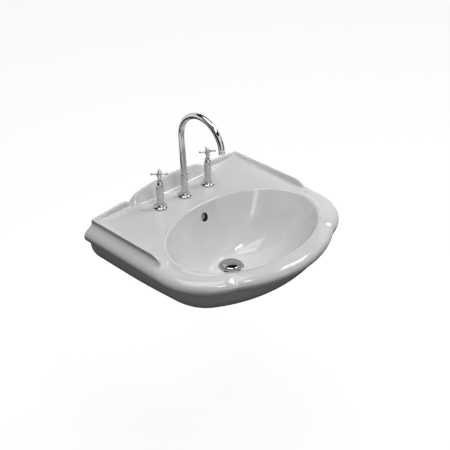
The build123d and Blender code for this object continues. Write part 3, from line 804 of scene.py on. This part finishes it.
def handle_mesh(x, angle):
    """Neck and hub turned about the valve, and four arms turned about level axes a quarter turn apart."""
    hub = softened([(4.4, 96), (5.4, 96), (5.0, 101), (5.0, 106), (7.6, 110), (7.6, 122.5),
                    (5.8, cap_level), (3.9, cap_level)], 1.4)
    meshes = [lathe(hub, (x, tap_y, 0))]
    turn = np.linspace(math.radians(140), 0, 12)
    ball = np.stack([ball_radius * np.sin(turn), arm_reach + ball_radius * np.cos(turn)], axis=-1)
    arm = np.concatenate([[(0, 5.5), (3.6, 5.5), (3.3, 9), (2.8, 15)], ball])
    for quarter in range(4):
        way = math.radians(angle + 90 * quarter)
        meshes.append(lathe(arm, (x, tap_y, arm_level), (math.cos(way), math.sin(way), 0), 32))
    return joined(*meshes)


def cap_profile():
    """Domed cap: half an ellipse on a flat bottom."""
    turn = np.linspace(0, math.pi / 2, 10)
    dome = np.stack([cap_radius * np.cos(turn), cap_level + cap_rise * np.sin(turn)], axis=-1)
    return np.concatenate([[(0, cap_level)], dome])


for name, x, angle in (("hot", -tap_spacing, 48.0), ("cold", tap_spacing, 58.0)):
    dress(chrome, f"{name}_valve_body")
    make_piece(f"{name}_bell", lathe(bell_profile(), (x, tap_y, 0)), "basin_fixed", chrome,
               [f"{name}_bonnet"])
    make_piece(f"{name}_cross_handle", handle_mesh(x, angle), f"{name}_handle_turning", chrome,
               [f"{name}_handle"])
    make_piece(f"{name}_domed_cap", lathe(cap_profile(), (x, tap_y, 0), count=48), f"{name}_handle_turning",
               chrome, [f"{name}_handle_cap"])


# Spout: drawn brass tube bent to a gooseneck, plated like the valves, turning in the column's socket.
# A plain collar hides the joint, and an aerator with a plastic screen is screwed into the tip.

neck_radius = 9.5
neck_bottom = 71.4
neck_upright = 83.3
neck_lean = math.radians(4.1)
lean_radius = 180.0
neck_straight = 111.0
arch_radius = 88.0
arch_sweep = 175.0
nozzle_length = 3.0
socket_ring = ((9.8, 71), (12.4, 71), (12.4, 77), (9.8, 77))
nose_profile = ((neck_radius, 0), (9.9, 0.4), (9.9, 10.4), (9.2, 11), (7.9, 11), (7.9, 6))
screen_profile = ((0, 7), (7.8, 7), (7.8, 8.6), (0, 8.6))


def neck_line():
    """Centre line as (y, z): upright, a slight lean to the wall, a straight, the arch and the nozzle."""
    turn = np.linspace(0, neck_lean, 6)
    leaning = np.stack([tap_y + lean_radius * (1 - np.cos(turn)), neck_upright + lean_radius * np.sin(turn)],
                       axis=-1)
    straight_end = leaning[-1] + neck_straight * np.array([math.sin(neck_lean), math.cos(neck_lean)])
    straight = leaning[-1] + (straight_end - leaning[-1]) * np.linspace(0, 1, 8)[1:-1, None]
    centre = straight_end - arch_radius * np.array([math.cos(neck_lean), -math.sin(neck_lean)])
    sweep = np.radians(np.linspace(0, arch_sweep, 60)) - neck_lean
    arch = centre + arch_radius * np.stack([np.cos(sweep), np.sin(sweep)], axis=-1)
    onward = np.array([-math.sin(sweep[-1]), math.cos(sweep[-1])])
    nozzle_end = arch[-1] + nozzle_length * onward
    return np.concatenate([[(tap_y, neck_bottom)], leaning, straight, arch, [nozzle_end]]), onward


neck, nozzle_way = neck_line()
tip = np.array([0, *neck[-1]])
tip_way = np.array([0, *nozzle_way])
ring_mesh = lathe(softened(socket_ring, 1.0), (0, tap_y, 0))
nose_mesh = lathe(softened(nose_profile, 0.5), tip, tip_way)
screen_mesh = lathe(softened(screen_profile, 0.4), tip, tip_way, 48)
dress(chrome, "spout_column")
make_piece("gooseneck_tube", tube_along(neck, neck_radius), "spout_turning", chrome, ["gooseneck"])
make_piece("spout_ring", ring_mesh, "basin_fixed", chrome, ["spout_collar"])
make_piece("aerator_nose", nose_mesh, "spout_turning", chrome, ["aerator_housing"])
make_piece("aerator_disc", screen_mesh, "spout_turning", plastic, ["aerator_screen"])


# Waste: a chromed brass flange and tail, clamped through the bowl's floor between rubber seals by a
# backnut. A low domed plug on a push cartridge closes it.

plug_radius = 24.5
plug_bottom = -163.0
dome_level = -160.5
dome_rise = 4.5


def plug_profile():
    """Flat bottom with a softened edge, then a quarter ellipse up to the middle of the dome."""
    edge = softened([(0, plug_bottom), (plug_radius, plug_bottom), (plug_radius, plug_bottom + 2)], 0.8)
    turn = np.linspace(0, 1, 14) * math.pi / 2
    dome = np.stack([plug_radius * np.cos(turn), dome_level + dome_rise * np.sin(turn)], axis=-1)
    return np.concatenate([edge, dome])


dress(chrome, "waste_body", "plug_stem")
dress(rubber, "waste_top_seal", "waste_under_seal", "plug_seal")
dress(steel, "waste_washer")
dress(brass, "waste_backnut")
dress(plastic, "push_cartridge")
make_piece("plug_cap", lathe(plug_profile(), (0, drain_y, 0), count=96), "plug_lifting", chrome,
           ["plug_dome"])


# Studio: pale paper well below the hung basin, a large soft lamp to the right, and weaker ones in front
# and above. Dark cards, which only mirrors see, give the chrome its dark bands. Sizes are in metres.

def area_lamp(name, azimuth, elevation, distance, size, power):
    """Square soft lamp in a direction from the basin, in degrees, turned towards it."""
    lamp = bpy.data.lights.new(name, "AREA")
    lamp.energy = power
    lamp.size = size
    light = bpy.data.objects.new(name, lamp)
    turn, rise = math.radians(azimuth), math.radians(elevation)
    middle = Vector((0, -0.3, 0))
    way = Vector((math.cos(rise) * math.cos(turn), math.cos(rise) * math.sin(turn), math.sin(rise)))
    light.location = middle + way * distance
    light.rotation_euler = (-way).to_track_quat("-Z", "Y").to_euler()
    bpy.context.scene.collection.objects.link(light)


area_lamp("right softbox", azimuth=-20, elevation=52, distance=5.0, size=1.6, power=69)
area_lamp("front softbox", azimuth=-102, elevation=60, distance=3.6, size=0.8, power=22)
area_lamp("window", azimuth=-115, elevation=26, distance=3.5, size=0.35, power=1.6)
area_lamp("top softbox", azimuth=130, elevation=82, distance=3.0, size=2.0, power=43)


def flat_board(name, corners, material):
    """Four-cornered board of the studio."""
    mesh = bpy.data.meshes.new(name)
    mesh.from_pydata(corners, [], [(0, 1, 2, 3)])
    mesh.materials.append(material)
    board = bpy.data.objects.new(name, mesh)
    bpy.context.scene.collection.objects.link(board)
    return board


def seen_strength(tree, strength, rest):
    """Strength of a light that the camera, mirrors and glass see, and the rest that lights other things."""
    path = add_node(tree, "ShaderNodeLightPath").outputs
    mirror = add_node(tree, "ShaderNodeMath", operation="MAXIMUM")
    tree.links.new(path["Is Camera Ray"], mirror.inputs[0])
    tree.links.new(path["Is Glossy Ray"], mirror.inputs[1])
    seen = add_node(tree, "ShaderNodeMath", operation="MAXIMUM")
    tree.links.new(mirror.outputs[0], seen.inputs[0])
    tree.links.new(path["Is Transmission Ray"], seen.inputs[1])
    level = add_node(tree, "ShaderNodeMapRange", [(seen.outputs[0], "Value")])
    level.inputs["To Min"].default_value = rest
    level.inputs["To Max"].default_value = strength
    return level.outputs["Result"]


def floor_material():
    """Pale seamless paper: a matt grey lit by the lamps, and a white that only camera and mirrors see."""
    material, tree, shader = new_material("pale studio paper")
    shader.inputs["Base Color"].default_value = colour("808080")
    shader.inputs["Roughness"].default_value = 0.95
    shader.inputs["Specular IOR Level"].default_value = 0.0
    shader.inputs["Emission Color"].default_value = (1, 1, 1, 1)
    tree.links.new(seen_strength(tree, 0.88, 0.0), shader.inputs["Emission Strength"])
    return material


def card_material():
    """Black velvet on a board, which gives mirrors a dark patch with soft edges."""
    material, tree, shader = new_material("black studio card")
    shader.inputs["Base Color"].default_value = colour("1E1E1E")
    shader.inputs["Roughness"].default_value = 1.0
    return material


flat_board("floor", [(-8, -8, -0.85), (8, -8, -0.85), (8, 8, -0.85), (-8, 8, -0.85)], floor_material())
card = card_material()
for name, corners in (
        ("left card", [(-2.4, -2.6, -0.6), (-2.4, 1.4, -0.6), (-2.4, 1.4, 1.4), (-2.4, -2.6, 1.4)]),
        ("right card", [(1.2, -3.2, -0.5), (2.6, -1.2, -0.5), (2.6, -1.2, 0.9), (1.2, -3.2, 0.9)]),
        ("dark cloth", [(-1.7, -2.4, -0.84), (1.9, -2.4, -0.84), (1.9, 1.6, -0.84), (-1.7, 1.6, -0.84)]),
        ("dark ceiling", [(-6, -6, 4.6), (-6, 6, 4.6), (6, 6, 4.6), (6, -6, 4.6)])):
    board = flat_board(name, corners, card)
    board.visible_camera = False
    board.visible_shadow = False
    board.visible_diffuse = False

world = bpy.data.worlds.new("studio")
bpy.context.scene.world = world
world.use_nodes = True
surround = world.node_tree.nodes["Background"]
surround.inputs["Color"].default_value = (1, 1, 1, 1)
world.node_tree.links.new(seen_strength(world.node_tree, 1.0, 0.15), surround.inputs["Strength"])

bpy.context.scene.view_settings.view_transform = "Standard"


# Camera: a long lens, as for a catalogue picture, high on the left and in front of the basin.
# It looks down into the bowl at the photograph's viewing angle.

camera_data = bpy.data.cameras.new("camera")
camera_data.sensor_width = 36.0
camera_data.lens = 82.2
camera_data.clip_end = 50.0
camera = bpy.data.objects.new("camera", camera_data)
camera.location = (-1.8313, -2.1286, 1.6697)
aim = Vector((0.0612, -0.1989, -0.0832)) - camera.location
camera.rotation_euler = aim.to_track_quat("-Z", "Y").to_euler()
bpy.context.scene.collection.objects.link(camera)
bpy.context.scene.camera = camera
